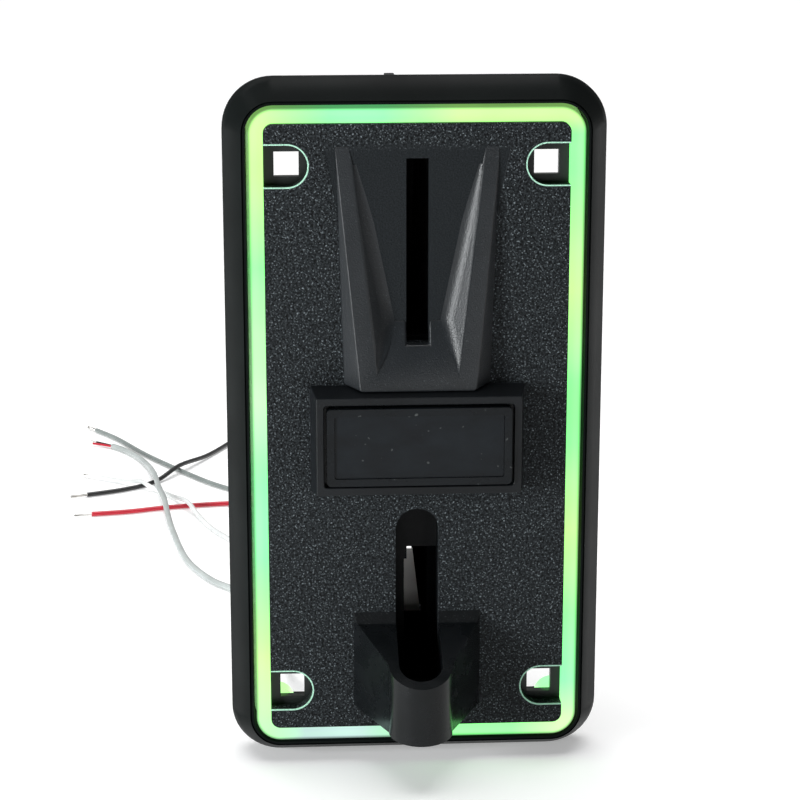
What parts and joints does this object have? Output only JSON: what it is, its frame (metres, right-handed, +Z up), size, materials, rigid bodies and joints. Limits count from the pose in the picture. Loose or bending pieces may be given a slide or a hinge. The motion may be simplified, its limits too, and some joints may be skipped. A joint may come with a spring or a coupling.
{
  "type": "coin acceptor",
  "caption": "Panel-mounted coin acceptor with a lit ring, vertical coin slot, reject button, return cup and wired coin mechanism.",
  "frame": {"origin": "centre of the bottom of the box round the acceptor, its loose wires left out; the bezel stands on z = 0", "axes": "+Z up, the front with the coin slot faces -Y, +X to the right as seen from the front"},
  "size_m": [0.1163, 0.2721, 0.1326],
  "materials": {
    "bezel_black": "satin",
    "light_guide": "translucent, lit",
    "pcb_white": "solder mask",
    "led_yellow": "gloss",
    "nylon_white": "satin",
    "plate_black": "grained",
    "satin_black": "satin",
    "button_black": "semi-gloss",
    "screw_black": "black zinc",
    "steel": "bright",
    "core_grey": "ferrite",
    "chassis_black": "matte",
    "copper_coil": "varnished wire",
    "pcb_green": "solder mask",
    "chip_black": "matte",
    "cap_blue": "sleeve",
    "key_red": "gloss",
    "ivory": "gloss",
    "wire_black": "PVC",
    "wire_red": "PVC",
    "wire_grey": "PVC",
    "wire_white": "PVC",
    "lead_grey": "PVC"
  },
  "bodies": {
    "acceptor": {"bezel_frame": "bezel_black", "light_guide": "light_guide", "led_board": "pcb_white", "ring_leds": "led_yellow", "led_connector": "nylon_white", "face_plate": "plate_black", "bolt_pockets": "plate_black", "coin_entry": "plate_black", "coin_ducts": "plate_black", "plate_posts": "plate_black", "button_frame": "satin_black", "return_cup": "satin_black", "back_frame": "chassis_black", "frame_screws": "screw_black", "plate_screws": "screw_black", "button_springs": "steel", "chassis": "chassis_black", "chassis_screws": "screw_black", "chassis_coils": "core_grey", "return_chute": "chassis_black", "gate_pin": "steel", "gate_spring": "steel", "solenoid_frame": "steel", "solenoid_coil": "copper_coil", "plunger_spring": "steel", "exit_sensor": "chip_black", "control_board": "pcb_green", "board_chips": "chip_black", "capacitors": "cap_blue", "digit_display": "chip_black", "key_bodies": "chip_black", "switch_bodies": "steel", "wire_header": "ivory", "harness_plug": "nylon_white", "board_cover": "chassis_black", "board_screws": "steel", "wire_black": "wire_black", "wire_red": "wire_red", "wire_grey": "wire_grey", "wire_white": "wire_white", "light_lead": "lead_grey"},
    "button": {"reject_button": "button_black", "button_panel": "button_black"},
    "gate": {"gate_plate": "chassis_black", "gate_coils": "core_grey"},
    "plunger": {"plunger": "steel"},
    "flap": {"flap_shaft": "steel", "flap_crank": "nylon_white", "diverter_flap": "nylon_white"},
    "key_1": {"setup_key_1": "key_red"},
    "key_2": {"setup_key_2": "key_red"},
    "key_3": {"setup_key_3": "key_red"},
    "knob_1": {"mode_knob_1": "chip_black"},
    "knob_2": {"mode_knob_2": "chip_black"}
  },
  "joints": [
    {"name": "button_press", "type": "slide", "parent": "acceptor", "child": "button", "axis": [0, 1, 0], "range_m": [0, 0.003], "stiffness_N_per_m": 150, "springref_m": -0.002, "deforming": ["button_springs"]},
    {"name": "gate_swing", "type": "hinge", "parent": "acceptor", "child": "gate", "pos_m": [0.0062, 0.031, 0.082], "axis": [0, 0, 1], "range_deg": [0, 5], "stiffness_Nm_per_rad": 0.02},
    {"name": "plunger_lift", "type": "slide", "parent": "acceptor", "child": "plunger", "axis": [0, 0, 1], "range_m": [0, 0.0031], "stiffness_N_per_m": 60, "springref_m": -0.002, "deforming": ["plunger_spring"]},
    {"name": "flap_tilt", "type": "hinge", "parent": "acceptor", "child": "flap", "pos_m": [0, 0.004, 0.0225], "axis": [1, 0, 0], "range_deg": [-30, 0]},
    {"name": "key_press_1", "type": "slide", "parent": "acceptor", "child": "key_1", "axis": [1, 0, 0], "range_m": [0, 0.0003], "stiffness_N_per_m": 400, "springref_m": -0.0005},
    {"name": "key_press_2", "type": "slide", "parent": "acceptor", "child": "key_2", "axis": [1, 0, 0], "range_m": [0, 0.0003], "stiffness_N_per_m": 400, "springref_m": -0.0005},
    {"name": "key_press_3", "type": "slide", "parent": "acceptor", "child": "key_3", "axis": [1, 0, 0], "range_m": [0, 0.0003], "stiffness_N_per_m": 400, "springref_m": -0.0005},
    {"name": "mode_slide_1", "type": "slide", "parent": "acceptor", "child": "knob_1", "axis": [0, 0, 1], "range_m": [0, 0.002]},
    {"name": "mode_slide_2", "type": "slide", "parent": "acceptor", "child": "knob_2", "axis": [0, 0, 1], "range_m": [0, 0.002]}
  ],
  "couplings": [
    {"joint": "gate_swing", "follows": "button_press", "rad_per_m": 29.089},
    {"joint": "flap_tilt", "follows": "plunger_lift", "rad_per_m": -168.9}
  ]
}
